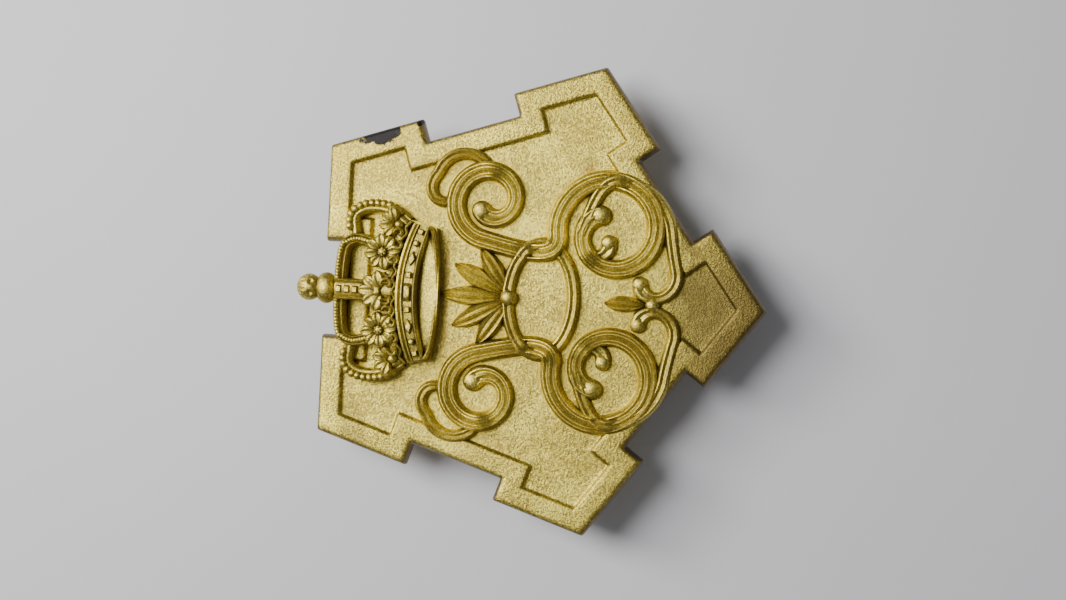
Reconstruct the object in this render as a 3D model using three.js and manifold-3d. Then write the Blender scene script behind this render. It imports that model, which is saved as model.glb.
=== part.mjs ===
// A struck brass cap badge: a bastioned pentagon plate that carries an applied crown and an
// applied piece of scrollwork, with two threaded posts and knurled nuts behind it.
//
// Frame: the origin is the centre of the pentagon on the plate's flat back. +Z points out of the
// badge's face, +Y towards the crown and +X to the viewer's right. Lengths are millimetres.

import * as THREE from 'three';
import { mergeVertices } from 'three/addons/utils/BufferGeometryUtils.js';
import Module from 'manifold-3d';

// ---------------------------------------------------------------- driving dimensions

// plate
const SIDE = 27.3; // pentagon side, from one bastion's point to the next
const BASTION_FACE = 9.2; // from a bastion's point to its shoulder
const FLANK = 2.2; // how far the curtain lies behind the bastion faces
const RIM_WIDTH = 2.2; // raised rim round the field
const PLATE_THICKNESS = 1.8; // at the rim
const FIELD_DEPTH = 0.4; // field below the rim
const POCKET_SLOPE = 0.2; // how far the pocket's wall leans out
const EDGE_DRAFT = 0.3; // how far the outer edge leans in towards the face
const EDGE_DRAFT_DEPTH = 1.1; // over this depth

// crown
const CROWN_WIDTH = 17.0; // across the widest arches
const CROWN_SEAT = 9.13; // from the top curtain's edge down to the crown's base, at DRAWN_SIDE
const CROWN_RELIEF = 2.3; // from the rim's face to the band's face
const CROWN_GROUND = 0.7; // from the rim's face to the ground behind the band and leaves
const ARCH_WIDTH = 1.2; // side arches across, at their middle
const ARCH_END_WIDTH = 0.9;
const ARCH_SHARE = 0.8; // of the crown's relief, for the side arches
const FOOT_SHARE = 0.6; // of the crown's relief, for the rear rim below the band
const LEAF_DROP = 0.2; // palmettes below the band's face
const ORB_LIFT = 0.5; // centres of the orb and its ball above the rim's face

// scrollwork
const SCROLL_HEAD_GAP = 0.16; // from the crown's base down to the middle strands' head
const SCROLL_FOOT_GAP = 5.6; // above the pocket's lowest corner
const SCROLL_RELIEF = 0.9; // main scrolls above the field
const TENDRIL_RELIEF = 0.7; // thin tendrils above the field
const SCROLL_WIDTH = 1.7; // main scroll across
const SCROLL_END_WIDTH = 0.9;
const TENDRIL_WIDTH = 1.1; // tendril across
const TENDRIL_END_WIDTH = 0.7;
const RING_WIDTH = 1.2; // middle ring across

// posts, washers and nuts
const POST_SPACING = 22.0; // between the two posts
const POST_HEIGHT_Y = 2.0; // above the pentagon's centre
const POST_RADIUS = 1.5; // M3 thread, over its crests
const POST_LENGTH = 5.3; // below the plate's back
const POST_CHAMFER = 0.3; // at the post's end
const POST_SEAT_DEPTH = 0.9; // blind socket in the plate
const SOLDER_WIDTH = 0.7; // countersunk mouth round a post, filled with solder
const WASHER_RADIUS = 3.6;
const WASHER_THICKNESS = 0.5;
const NUT_RADIUS = 4.0;
const NUT_HEIGHT = 2.4;
const NUT_TEETH = 24; // knurl teeth round a nut
const NUT_TOOTH_DEPTH = 0.2;

// rivets
const RIVET_RADIUS = 0.6;
const RIVET_HEAD_RADIUS = 1.05;
const RIVET_HEAD_DEPTH = 0.45;
const RIVET_BITE = 0.45; // depth of the pin's end in the piece that it holds

// clearances
const SEAT_CLEARANCE = 0.05; // round a pin or post in its hole
const RUNNING_CLEARANCE = 0.06; // between a nut's or washer's bore and the thread
const CUT_GAP = 0.3; // where one piece is trimmed by its neighbour
const NUT_REST = 0.02; // a nut's face below its post's end, so that the badge stands on the nuts

const CROWN_RIVET = [5.2, 2.2]; // its place on the drawn crown's right half

// the crown and the scrollwork are drawn at these sizes and then scaled to fit
const CROWN_DRAWN_WIDTH = 17.0;
const DRAWN_SIDE = 27.3; // the plate's side for which the crown's width and seat are given
const SCROLL_DRAWN_TOP = 7.3;
const SCROLL_DRAWN_FOOT = -14.9;

// chamfers on the struck pieces' upper edges
const WIDE_CHAMFER = 0.25; // crown's band and middle arch
const STRAND_CHAMFER = 0.2; // arches and strands
const LEAF_CHAMFER = 0.15; // scrollwork's leaves
const FINE_CHAMFER = 0.1; // crown's leaves and rear rim

const ROUND_STEPS = 24; // facets round a turned piece
const SMALL_ROUND_STEPS = 16; // facets round a rivet

// ---------------------------------------------------------------- worked-out places

const circumradius = SIDE / (2 * Math.sin(Math.PI / 5));
const apothem = SIDE / (2 * Math.tan(Math.PI / 5));
const curtainY = apothem - FLANK;
const fieldZ = PLATE_THICKNESS - FIELD_DEPTH;
const pocketFootY = -(circumradius - RIM_WIDTH / Math.cos(Math.PI / 5));
const crownGrowth = SIDE / DRAWN_SIDE; // the crown grows with the plate it sits on
const crownBaseY = curtainY - CROWN_SEAT * crownGrowth;
const crownScale = (CROWN_WIDTH / CROWN_DRAWN_WIDTH) * crownGrowth;
const scrollTopY = crownBaseY - SCROLL_HEAD_GAP;
const scrollFootY = pocketFootY + SCROLL_FOOT_GAP;
const scrollScale = (scrollTopY - scrollFootY) / (SCROLL_DRAWN_TOP - SCROLL_DRAWN_FOOT);
const scrollShiftY = scrollTopY - SCROLL_DRAWN_TOP * scrollScale;

const nutTopZ = -POST_LENGTH - NUT_REST + NUT_HEIGHT;

const gilt = { color: 0xc2a85a, roughness: 0.4 };
const dullBrass = { color: 0x9a7f45, roughness: 0.5 };
const turnedBrass = { color: 0xb8963f, roughness: 0.3 };
const tinSolder = { color: 0x8d8f90, roughness: 0.55 };

// ---------------------------------------------------------------- solid tools

const wasm = await Module();
wasm.setup();

function solid(geometry) {
  const bare = geometry.clone();
  bare.deleteAttribute('normal');
  bare.deleteAttribute('uv');
  const merged = mergeVertices(bare, 1e-4);
  return new wasm.Manifold(new wasm.Mesh({
    numProp: 3,
    vertProperties: new Float32Array(merged.attributes.position.array),
    triVerts: new Uint32Array(merged.index.array),
  }));
}

function geometryOf(manifold) {
  const mesh = manifold.getMesh();
  const geometry = new THREE.BufferGeometry();
  geometry.setAttribute('position', new THREE.BufferAttribute(new Float32Array(mesh.vertProperties), 3));
  geometry.setIndex(new THREE.BufferAttribute(new Uint32Array(mesh.triVerts), 1));
  geometry.computeVertexNormals();
  return geometry;
}

// a flat outline raised from z0 to z1, with its upper edge chamfered by bevel
function raised(shape, z0, z1, bevel = 0) {
  const geometry = new THREE.ExtrudeGeometry(shape, {
    depth: z1 - z0,
    bevelEnabled: bevel > 0,
    bevelThickness: bevel,
    bevelSize: bevel,
    bevelOffset: -bevel,
    bevelSegments: 1,
    curveSegments: 6,
  });
  geometry.translate(0, 0, bevel > 0 ? z0 - bevel : z0);
  if (bevel === 0) return solid(geometry);
  // the sweep has a chamfer at both ends: the lower one is sunk below z0 and cut off
  return solid(geometry).subtract(slab(z0 - 4 * bevel, z0));
}

// everything between two heights, wider than the badge
function slab(z0, z1) {
  const reach = 6 * circumradius;
  const box = new THREE.BoxGeometry(reach, reach, z1 - z0);
  box.translate(0, 0, (z0 + z1) / 2);
  return solid(box);
}

// a body of revolution about +Z from [radius, z] pairs
function turned(profile, x, y, steps = ROUND_STEPS) {
  const lathe = new THREE.LatheGeometry(profile.map(([r, z]) => new THREE.Vector2(r, z)), steps);
  lathe.rotateX(Math.PI / 2);
  lathe.translate(x, y, 0);
  return lathe;
}

const mirrored = (points) => points.map((p) => new THREE.Vector2(-p.x, p.y)).reverse();

// ---------------------------------------------------------------- plate outline

// five bastions: point, shoulder, curtain corner, curtain corner, shoulder on every side
function bastionOutline() {
  const corner = (i) => {
    const angle = THREE.MathUtils.degToRad(54 + 72 * i);
    return new THREE.Vector2(circumradius * Math.cos(angle), circumradius * Math.sin(angle));
  };
  const points = [];
  for (let i = 0; i < 5; i += 1) {
    const from = corner(i);
    const to = corner(i + 1);
    const along = to.clone().sub(from).normalize();
    const inward = new THREE.Vector2(-along.y, along.x);
    const shoulderA = from.clone().addScaledVector(along, BASTION_FACE);
    const shoulderB = to.clone().addScaledVector(along, -BASTION_FACE);
    points.push(from, shoulderA);
    points.push(shoulderA.clone().addScaledVector(inward, FLANK));
    points.push(shoulderB.clone().addScaledVector(inward, FLANK));
    points.push(shoulderB);
  }
  return points;
}

// the outline moved inwards by a distance, with mitred corners
function inset(points, distance) {
  return points.map((point, i) => {
    const before = points[(i + points.length - 1) % points.length];
    const after = points[(i + 1) % points.length];
    const u = point.clone().sub(before).normalize();
    const v = after.clone().sub(point).normalize();
    const mitre = new THREE.Vector2(-u.y - v.y, u.x + v.x);
    mitre.divideScalar(1 + u.dot(v));
    return point.clone().addScaledVector(mitre, distance);
  });
}

const outline = bastionOutline();

// the recessed field: the pocket is wider at the rim's face than at its floor
function pocket(rimWidth, z0, z1) {
  const lean = POCKET_SLOPE;
  const geometry = new THREE.ExtrudeGeometry(new THREE.Shape(inset(outline, rimWidth)), {
    depth: z1 - z0,
    bevelEnabled: true,
    bevelThickness: FIELD_DEPTH,
    bevelSize: lean,
    bevelOffset: -lean,
    bevelSegments: 1,
  });
  geometry.translate(0, 0, z0 + FIELD_DEPTH);
  return solid(geometry);
}

// ---------------------------------------------------------------- scrollwork lines

// a point of a spiral, t going from 0 at its outer end to 1 at its inner end; the radius falls
// as t to the power of tighten
function spiralPoint({ centre, outer, inner, start, sweep, tighten = 1 }, t) {
  const angle = THREE.MathUtils.degToRad(start + sweep * t);
  const radius = outer + (inner - outer) * t ** tighten;
  return new THREE.Vector2(centre[0] + radius * Math.cos(angle), centre[1] + radius * Math.sin(angle));
}

function volute(spiral, steps) {
  return Array.from({ length: steps + 1 }, (_, i) => spiralPoint(spiral, i / steps));
}

// two lines joined by a cubic that leaves one and enters the other along its own direction
function joined(first, second, fullness, steps = 6) {
  const a = first[first.length - 1];
  const b = second[0];
  const reach = (a.distanceTo(b) * fullness) / 3;
  const leaving = a.clone().sub(first[first.length - 2]).setLength(reach);
  const entering = second[1].clone().sub(b).setLength(reach);
  const curve = new THREE.CubicBezierCurve(a, a.clone().add(leaving), b.clone().sub(entering), b);
  return [...first.slice(0, -1), ...curve.getPoints(steps), ...second.slice(1)];
}

// the strands on the right half, drawn before scaling: radii in millimetres, angles in degrees
const LOWER_RING = {
  centre: [6.7, -8.3], outer: 4.95, inner: 1.7, start: 98, sweep: -425, tighten: 1.9,
};
const UPPER_CURL = {
  centre: [9.0, 3.0], outer: 3.75, inner: 1.3, start: 172, sweep: -395, tighten: 1.15,
};
const SIDE_BOW = { centre: [10.6, 5.6], outer: 2.8, inner: 2.7, start: -75, sweep: 130 };
const SIDE_TIP = { centre: [9.9, 7.2], outer: 1.75, inner: 0.95, start: 40, sweep: 200 };
const TENDRIL_HOOK = { centre: [5.6, -7.3], outer: 1.9, inner: 0.95, start: 60, sweep: 210 };
const TENDRIL_BOW = { centre: [6.1, -8.7], outer: 5.3, inner: 5.3, start: -4, sweep: -78 };
const TENDRIL_FOOT = {
  centre: [2.4, -12.2], outer: 2.6, inner: 1.0, start: -70, sweep: -170, tighten: 1.2,
};
const MIDDLE_RING = { y: -2.1, halfWidth: 5.2, halfHeight: 3.1 };
const SCROLL_LEAVES = {
  x: 0, y: 0.6, lobes: 5, length: 5.6, width: 1.7, fromDegrees: 30, toDegrees: 150,
};
const LOWER_RIVET_TURN = 0.58; // where along the lower ring and the upper curl the rivets sit
const UPPER_RIVET_TURN = 0;

function mainScroll() {
  return joined(volute(LOWER_RING, 26).reverse(), volute(UPPER_CURL, 22), 1.15);
}

function sideCurl() {
  return joined(volute(SIDE_BOW, 8), volute(SIDE_TIP, 10), 0.9, 3);
}

function tendril() {
  const hookAndBow = joined(volute(TENDRIL_HOOK, 10).reverse(), volute(TENDRIL_BOW, 8), 1.05, 5);
  return joined(hookAndBow, volute(TENDRIL_FOOT, 10), 0.9, 3);
}

function middleRing() {
  const { y, halfWidth, halfHeight } = MIDDLE_RING;
  return new THREE.EllipseCurve(0, y, halfWidth, halfHeight, 0, 2 * Math.PI).getPoints(36);
}

// a ribbon's outline: the line moved to both sides, narrower towards its two ends
function ribbon(line, width, endWidth) {
  const left = [];
  const right = [];
  const last = line.length - 1;
  for (let i = 0; i <= last; i += 1) {
    const along = line[Math.min(i + 1, last)].clone().sub(line[Math.max(i - 1, 0)]).normalize();
    const across = new THREE.Vector2(-along.y, along.x);
    const toEnd = Math.min(1, (4 * Math.min(i, last - i)) / last);
    const half = (endWidth + (width - endWidth) * Math.sin((toEnd * Math.PI) / 2)) / 2;
    left.push(line[i].clone().addScaledVector(across, half));
    right.push(line[i].clone().addScaledVector(across, -half));
  }
  return new THREE.Shape([...right, ...left.reverse()]);
}

function ringShape(line, width) {
  const offsetLine = (distance) => line.slice(0, -1).map((p, i) => {
    const before = line[(i + line.length - 2) % (line.length - 1)];
    const after = line[i + 1];
    const along = after.clone().sub(before).normalize();
    return p.clone().add(new THREE.Vector2(along.y, -along.x).multiplyScalar(distance));
  });
  const shape = new THREE.Shape(offsetLine(width / 2));
  shape.holes.push(new THREE.Path(offsetLine(-width / 2)));
  return shape;
}

// a leaf fan: lobes of one length spread evenly about a base point
function fan({ x, y, lobes, length, width, fromDegrees, toDegrees }) {
  const shapes = [];
  const step = (toDegrees - fromDegrees) / (lobes - 1);
  for (let i = 0; i < lobes; i += 1) {
    const angle = THREE.MathUtils.degToRad(fromDegrees + step * i);
    const lobe = new THREE.EllipseCurve(
      x + (Math.cos(angle) * length) / 2, y + (Math.sin(angle) * length) / 2,
      length / 2, width / 2, 0, 2 * Math.PI, false, angle);
    shapes.push(new THREE.Shape(lobe.getPoints(14).slice(0, -1)));
  }
  return shapes;
}

// ---------------------------------------------------------------- pieces

const crownRivet = [CROWN_RIVET[0] * crownScale, crownBaseY + CROWN_RIVET[1] * crownScale];
const scrollRivet = (spiral, turn) => {
  const spot = spiralPoint(spiral, turn);
  return [spot.x * scrollScale, spot.y * scrollScale + scrollShiftY];
};
const rivetPlaces = {};
for (const [side, sign] of [['left', -1], ['right', 1]]) {
  for (const [name, [x, y]] of [
    ['crown_rivet', crownRivet],
    ['scroll_rivet_upper', scrollRivet(UPPER_CURL, UPPER_RIVET_TURN)],
    ['scroll_rivet_lower', scrollRivet(LOWER_RING, LOWER_RIVET_TURN)],
  ]) {
    rivetPlaces[`${name}_${side}`] = [sign * x, y];
  }
}
const crownRivets = Object.keys(rivetPlaces).filter((name) => name.startsWith('crown'));
const scrollRivets = Object.keys(rivetPlaces).filter((name) => name.startsWith('scroll'));
const postPlaces = {
  left: [-POST_SPACING / 2, POST_HEIGHT_Y],
  right: [POST_SPACING / 2, POST_HEIGHT_Y],
};
const rivetEnd = fieldZ + RIVET_BITE;

function rivetGeometry(name) {
  const [x, y] = rivetPlaces[name];
  return turned([
    [0, 0], [RIVET_HEAD_RADIUS, 0], [RIVET_RADIUS, RIVET_HEAD_DEPTH],
    [RIVET_RADIUS, rivetEnd], [0, rivetEnd],
  ], x, y, SMALL_ROUND_STEPS);
}

// the hole that a rivet needs in the plate and, blind, in the piece that it holds
function rivetHole(name) {
  const [x, y] = rivetPlaces[name];
  const end = rivetEnd + SEAT_CLEARANCE;
  const bore = RIVET_RADIUS + SEAT_CLEARANCE;
  const mouth = RIVET_HEAD_RADIUS + SEAT_CLEARANCE;
  return solid(turned([
    [0, -1], [mouth, -1], [mouth, 0], [bore, RIVET_HEAD_DEPTH + SEAT_CLEARANCE],
    [bore, end], [0, end],
  ], x, y, SMALL_ROUND_STEPS));
}

function drilled(piece, names) {
  return names.reduce((rest, name) => rest.subtract(rivetHole(name)), piece);
}

function plateSolid() {
  const drafted = new THREE.ExtrudeGeometry(new THREE.Shape(outline), {
    depth: PLATE_THICKNESS,
    bevelEnabled: true,
    bevelThickness: EDGE_DRAFT_DEPTH,
    bevelSize: EDGE_DRAFT,
    bevelOffset: -EDGE_DRAFT,
    bevelSegments: 1,
  });
  drafted.translate(0, 0, -EDGE_DRAFT_DEPTH);
  let plate = solid(drafted).subtract(slab(-4 * EDGE_DRAFT_DEPTH, 0));
  plate = plate.subtract(pocket(RIM_WIDTH, fieldZ, PLATE_THICKNESS + FIELD_DEPTH));
  plate = drilled(plate, Object.keys(rivetPlaces));
  for (const [x, y] of Object.values(postPlaces)) {
    const bore = POST_RADIUS + SEAT_CLEARANCE;
    const mouth = bore + SOLDER_WIDTH;
    plate = plate.subtract(solid(turned([
      [0, -1], [mouth, -1], [mouth, 0], [bore, SOLDER_WIDTH],
      [bore, POST_SEAT_DEPTH], [0, POST_SEAT_DEPTH],
    ], x, y)));
  }
  return plate;
}

// the crown is drawn with its base at y = 0; the arrays are [x, y] on its right half
const CROWN_BAND_TOP = [[6.5, 2.6], [0, 3.9]];
const CROWN_BAND_FOOT = [[6.2, 0.9], [0, 1.9]];
const CROWN_BACK_FOOT = [[6.2, 0.5], [0, 0]];
const CROWN_GROUND_TOP = [[7.0, 4.4], [0, 5.6]];
const REAR_RIM_FOOT = [[6.05, 0.6], [0, 0.05]];
const REAR_RIM_TOP = [[6.05, 1.2], [0, 0.55]];
const MIDDLE_ARCH = [[1, 3.5], [1, 9.9], [-1, 9.9], [-1, 3.5]];
const OUTER_ARCH = [[6.6, 3.2], [7.75, 4.9], [7.95, 6.8], [7.5, 8.0], [6.7, 8.5], [5.2, 8.3]];
const INNER_ARCH = [[3.9, 5.4], [4.65, 7.0], [4.75, 8.2], [4.1, 9.05], [2.5, 9.3], [0.8, 9.35]];
const CROWN_LEAVES = [
  { x: 0, y: 5.5, size: 2.2 },
  { x: 3.65, y: 5.1, size: 2.1 },
  { x: -3.65, y: 5.1, size: 2.1 },
  { x: 6.4, y: 4.1, size: 1.3 },
  { x: -6.4, y: 4.1, size: 1.3 },
];
const ORB_BALLS = [
  { y: 10.7, radius: 1.45, flat: 0.75 },
  { y: 12.45, radius: 1.25, flat: 0.9 },
];

// an arc from (x, yEnd) over (0, yMiddle) to (-x, yEnd)
function arcAcross([[x, yEnd], [, yMiddle]], steps = 10) {
  const points = [];
  for (let i = 0; i <= steps; i += 1) {
    const u = 1 - (2 * i) / steps;
    points.push(new THREE.Vector2(x * u, yMiddle + (yEnd - yMiddle) * u * u));
  }
  return points;
}

const vectors = (points) => points.map(([x, y]) => new THREE.Vector2(x, y));
const crownLine = (points) => new THREE.SplineCurve(vectors(points)).getPoints(points.length * 3);

function crownParts() {
  const groundShape = new THREE.Shape([
    ...arcAcross(CROWN_BACK_FOOT).reverse(),
    ...arcAcross(CROWN_GROUND_TOP),
  ]);
  const bandShape = new THREE.Shape([
    ...arcAcross(CROWN_BAND_FOOT).reverse(),
    ...arcAcross(CROWN_BAND_TOP),
  ]);
  const footShape = new THREE.Shape([
    ...arcAcross(REAR_RIM_FOOT).reverse(),
    ...arcAcross(REAR_RIM_TOP),
  ]);
  const rimZ = PLATE_THICKNESS;
  const faceZ = rimZ + CROWN_RELIEF;
  const parts = [
    raised(groundShape, fieldZ, rimZ + CROWN_GROUND),
    raised(bandShape, rimZ, faceZ, WIDE_CHAMFER),
    raised(footShape, rimZ, rimZ + FOOT_SHARE * CROWN_RELIEF, FINE_CHAMFER),
    raised(new THREE.Shape(vectors(MIDDLE_ARCH)), rimZ, faceZ, WIDE_CHAMFER),
  ];
  for (const line of [crownLine(OUTER_ARCH), crownLine(INNER_ARCH)]) {
    for (const side of [line, mirrored(line)]) {
      const arch = ribbon(side, ARCH_WIDTH, ARCH_END_WIDTH);
      parts.push(raised(arch, rimZ, rimZ + ARCH_SHARE * CROWN_RELIEF, STRAND_CHAMFER));
    }
  }
  for (const { x, y, size } of CROWN_LEAVES) {
    for (const lobe of fan({
      x, y: y - size / 2, lobes: 5, length: size * 1.3, width: size * 0.55,
      fromDegrees: 20, toDegrees: 160,
    })) {
      parts.push(raised(lobe, rimZ, faceZ - LEAF_DROP, FINE_CHAMFER));
    }
  }
  for (const { y, radius, flat } of ORB_BALLS) {
    const ball = new THREE.SphereGeometry(radius, 20, 12);
    ball.scale(1, 1, flat);
    ball.translate(0, y, rimZ + ORB_LIFT);
    parts.push(solid(ball));
  }
  return parts;
}

// an applied piece: above the rim's face it is whole, below that it fills only the field
function seated(piece) {
  const fieldShape = new THREE.Shape(inset(outline, RIM_WIDTH + POCKET_SLOPE + CUT_GAP));
  const field = raised(fieldShape, 0, PLATE_THICKNESS);
  const foot = piece.intersect(slab(fieldZ, PLATE_THICKNESS)).intersect(field);
  return piece.subtract(slab(-PLATE_THICKNESS, PLATE_THICKNESS)).add(foot);
}

function crownSolid() {
  const drawn = crownParts().reduce((all, part) => all.add(part));
  const placed = drawn.scale([crownScale, crownScale, 1]).translate([0, crownBaseY, 0]);
  return drilled(seated(placed), crownRivets);
}

function scrollSolid() {
  const parts = [];
  for (const [line, width, endWidth, relief] of [
    [mainScroll(), SCROLL_WIDTH, SCROLL_END_WIDTH, SCROLL_RELIEF],
    [sideCurl(), TENDRIL_WIDTH, TENDRIL_END_WIDTH, TENDRIL_RELIEF],
    [tendril(), TENDRIL_WIDTH, TENDRIL_END_WIDTH, TENDRIL_RELIEF],
  ]) {
    for (const side of [line, mirrored(line)]) {
      parts.push(raised(ribbon(side, width, endWidth), fieldZ, fieldZ + relief, STRAND_CHAMFER));
    }
  }
  const ring = ringShape(middleRing(), RING_WIDTH);
  parts.push(raised(ring, fieldZ, fieldZ + TENDRIL_RELIEF, STRAND_CHAMFER));
  for (const lobe of fan(SCROLL_LEAVES)) {
    parts.push(raised(lobe, fieldZ, fieldZ + SCROLL_RELIEF, LEAF_CHAMFER));
  }
  const drawn = parts.reduce((all, part) => all.add(part));
  const placed = drawn.scale([scrollScale, scrollScale, 1]).translate([0, scrollShiftY, 0]);
  return drilled(seated(placed), scrollRivets);
}

function postGeometry([x, y]) {
  return turned([
    [0, -POST_LENGTH], [POST_RADIUS - POST_CHAMFER, -POST_LENGTH],
    [POST_RADIUS, -POST_LENGTH + POST_CHAMFER],
    [POST_RADIUS, POST_SEAT_DEPTH - SEAT_CLEARANCE], [0, POST_SEAT_DEPTH - SEAT_CLEARANCE],
  ], x, y);
}

// solder in the countersunk mouth round a post
function solderGeometry([x, y]) {
  const inner = POST_RADIUS + SEAT_CLEARANCE / 2;
  const outer = POST_RADIUS + SOLDER_WIDTH;
  const depth = SOLDER_WIDTH - SEAT_CLEARANCE;
  return turned([[inner, 0], [outer, 0], [inner, depth], [inner, 0]], x, y);
}

function washerGeometry([x, y]) {
  const bore = POST_RADIUS + RUNNING_CLEARANCE;
  const top = nutTopZ + WASHER_THICKNESS;
  return turned([
    [bore, nutTopZ], [WASHER_RADIUS, nutTopZ], [WASHER_RADIUS, top], [bore, top], [bore, nutTopZ],
  ], x, y);
}

// a round nut whose rim is a ring of small teeth
function nutGeometry([x, y]) {
  const teeth = new THREE.Shape(Array.from({ length: 2 * NUT_TEETH }, (_, i) => {
    const radius = NUT_RADIUS - (i % 2) * NUT_TOOTH_DEPTH;
    const angle = (i * Math.PI) / NUT_TEETH;
    return new THREE.Vector2(radius * Math.cos(angle), radius * Math.sin(angle));
  }));
  const bore = new THREE.Path();
  bore.absarc(0, 0, POST_RADIUS + RUNNING_CLEARANCE, 0, 2 * Math.PI);
  teeth.holes.push(bore);
  const nut = new THREE.ExtrudeGeometry(teeth, {
    depth: NUT_HEIGHT, bevelEnabled: false, curveSegments: ROUND_STEPS,
  });
  nut.translate(x, y, nutTopZ - NUT_HEIGHT);
  return nut;
}

const badge = new THREE.Group();

function addPiece(name, geometry, finish) {
  const material = new THREE.MeshStandardMaterial({ ...finish, metalness: 1 });
  const mesh = new THREE.Mesh(geometry, material);
  mesh.name = name;
  badge.add(mesh);
}

addPiece('plate', geometryOf(plateSolid()), gilt);
addPiece('crown', geometryOf(crownSolid()), gilt);
addPiece('scrollwork', geometryOf(scrollSolid()), gilt);
for (const name of Object.keys(rivetPlaces)) {
  addPiece(name, rivetGeometry(name), dullBrass);
}
for (const [side, place] of Object.entries(postPlaces)) {
  addPiece(`${side}_post`, postGeometry(place), turnedBrass);
  addPiece(`${side}_post_solder`, solderGeometry(place), tinSolder);
  addPiece(`${side}_washer`, washerGeometry(place), turnedBrass);
  addPiece(`${side}_nut`, nutGeometry(place), turnedBrass);
}

export default badge;
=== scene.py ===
# %% [markdown]
# # A struck brass cap badge
#
# The object is a cap badge: a bastioned pentagon of sandblasted gilt brass with a crown and a
# piece of scrollwork fixed on its face, and two threaded posts with knurled nuts behind it.
# The CAD model gives every size and every moving part. This script gives it the fine surfaces:
# each one is worked out with numpy as a grid of points, and the finishes are node materials.

import bmesh
import bpy
import numpy as np
from mathutils import Matrix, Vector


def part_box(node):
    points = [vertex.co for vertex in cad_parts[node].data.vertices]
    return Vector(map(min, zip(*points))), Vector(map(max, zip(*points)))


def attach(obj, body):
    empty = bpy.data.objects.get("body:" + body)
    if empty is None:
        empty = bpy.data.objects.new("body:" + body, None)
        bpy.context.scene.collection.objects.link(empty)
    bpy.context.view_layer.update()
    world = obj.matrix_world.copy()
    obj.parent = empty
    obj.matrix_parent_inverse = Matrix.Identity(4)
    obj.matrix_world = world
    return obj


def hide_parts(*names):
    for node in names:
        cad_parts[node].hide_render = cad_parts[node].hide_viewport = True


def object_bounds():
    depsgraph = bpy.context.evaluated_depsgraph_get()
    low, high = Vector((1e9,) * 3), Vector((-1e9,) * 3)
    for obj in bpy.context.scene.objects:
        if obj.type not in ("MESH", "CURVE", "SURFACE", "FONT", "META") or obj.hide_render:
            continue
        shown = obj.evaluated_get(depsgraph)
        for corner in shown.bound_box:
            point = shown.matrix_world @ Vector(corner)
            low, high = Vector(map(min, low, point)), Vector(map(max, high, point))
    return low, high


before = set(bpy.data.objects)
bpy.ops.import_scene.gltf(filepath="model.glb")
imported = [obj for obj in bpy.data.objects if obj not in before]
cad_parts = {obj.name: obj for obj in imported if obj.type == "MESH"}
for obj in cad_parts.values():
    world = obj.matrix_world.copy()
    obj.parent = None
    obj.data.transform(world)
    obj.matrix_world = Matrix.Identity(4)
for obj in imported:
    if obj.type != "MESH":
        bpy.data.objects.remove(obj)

MM = 0.001  # every piece is worked out in millimetres and put into Blender in metres
cad_low, cad_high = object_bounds()


def box_mm(node):
    """The lowest and highest corners of a CAD node, in millimetres."""
    low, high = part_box(node)
    return np.array(low) / MM, np.array(high) / MM


print("CAD box in mm:", np.round(np.array(cad_low) / MM, 2), np.round(np.array(cad_high) / MM, 2))

# %% [markdown]
# The camera comes first. It looks almost straight down on the badge, which lies on its nuts with
# its crown to the left of the view. A camera can be aimed with a Track To constraint, but a
# rotation matrix says the same thing exactly: its rows are the view's right and up and the
# direction back to the camera, written in the badge's own axes.

# %% Camera
FOCAL_LENGTH = 52.0  # mm, on a sensor 36 mm wide
CAMERA_DISTANCE = 146.2  # mm from the plate's back
TILT = (-6.25, -0.92, 86.92)  # degrees about X, then Y, then Z
BADGE_OFFSET = (-1.21, 0.19, 0.0)  # mm, where the badge's origin lies across the view


def turn(degrees, axis):
    """The rotation by an angle about X (0), Y (1) or Z (2): cosines and sines in the other two."""
    a, b = [(1, 2), (2, 0), (0, 1)][axis]
    matrix = np.eye(3)
    c, s = np.cos(np.radians(degrees)), np.sin(np.radians(degrees))
    matrix[a, a], matrix[b, b], matrix[a, b], matrix[b, a] = c, c, -s, s
    return matrix


to_view = turn(TILT[2], 2) @ turn(TILT[1], 1) @ turn(TILT[0], 0)
camera_place = to_view.T @ (np.array([0, 0, CAMERA_DISTANCE]) - BADGE_OFFSET)
camera_data = bpy.data.cameras.new("badge_camera")
camera_data.sensor_width = 36.0
camera_data.lens = FOCAL_LENGTH
camera_data.clip_start = 0.005
camera_data.clip_end = 10.0
camera = bpy.data.objects.new("badge_camera", camera_data)
camera_matrix = np.eye(4)
camera_matrix[:3, :3] = to_view.T
camera_matrix[:3, 3] = camera_place * MM
camera.matrix_world = Matrix(camera_matrix.tolist())
bpy.context.collection.objects.link(camera)
bpy.context.scene.camera = camera
print("camera at, mm:", np.round(camera_place, 1))

# %% [markdown]
# ## Tools for surfaces
#
# Every piece is one or more closed shells. A shell is a grid of points: one parameter runs along
# the rows and the other along the columns, and each grid square is a face. A grid that closes on
# itself needs no seam, and an open end gets one flat face over it.

# %% Grids of points
def unit(vectors):
    """Vectors divided by their own lengths."""
    return vectors / np.linalg.norm(vectors, axis=-1, keepdims=True)


def grid_faces(rows, columns, close_rows=False, close_columns=False):
    """Each face joins point (i, j) to its next neighbours; a closed direction wraps round."""
    i, j = np.meshgrid(
        np.arange(rows if close_rows else rows - 1),
        np.arange(columns if close_columns else columns - 1),
        indexing="ij",
    )
    i2, j2 = (i + 1) % rows, (j + 1) % columns
    corners = [i * columns + j, i * columns + j2, i2 * columns + j2, i2 * columns + j]
    return np.stack(corners, axis=-1).reshape(-1, 4)


def stacked(x, y, z):
    """Points from their x, y and z, which may be grids, rows, columns or single numbers."""
    return np.stack(np.broadcast_arrays(x, y, z), axis=-1)


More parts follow.
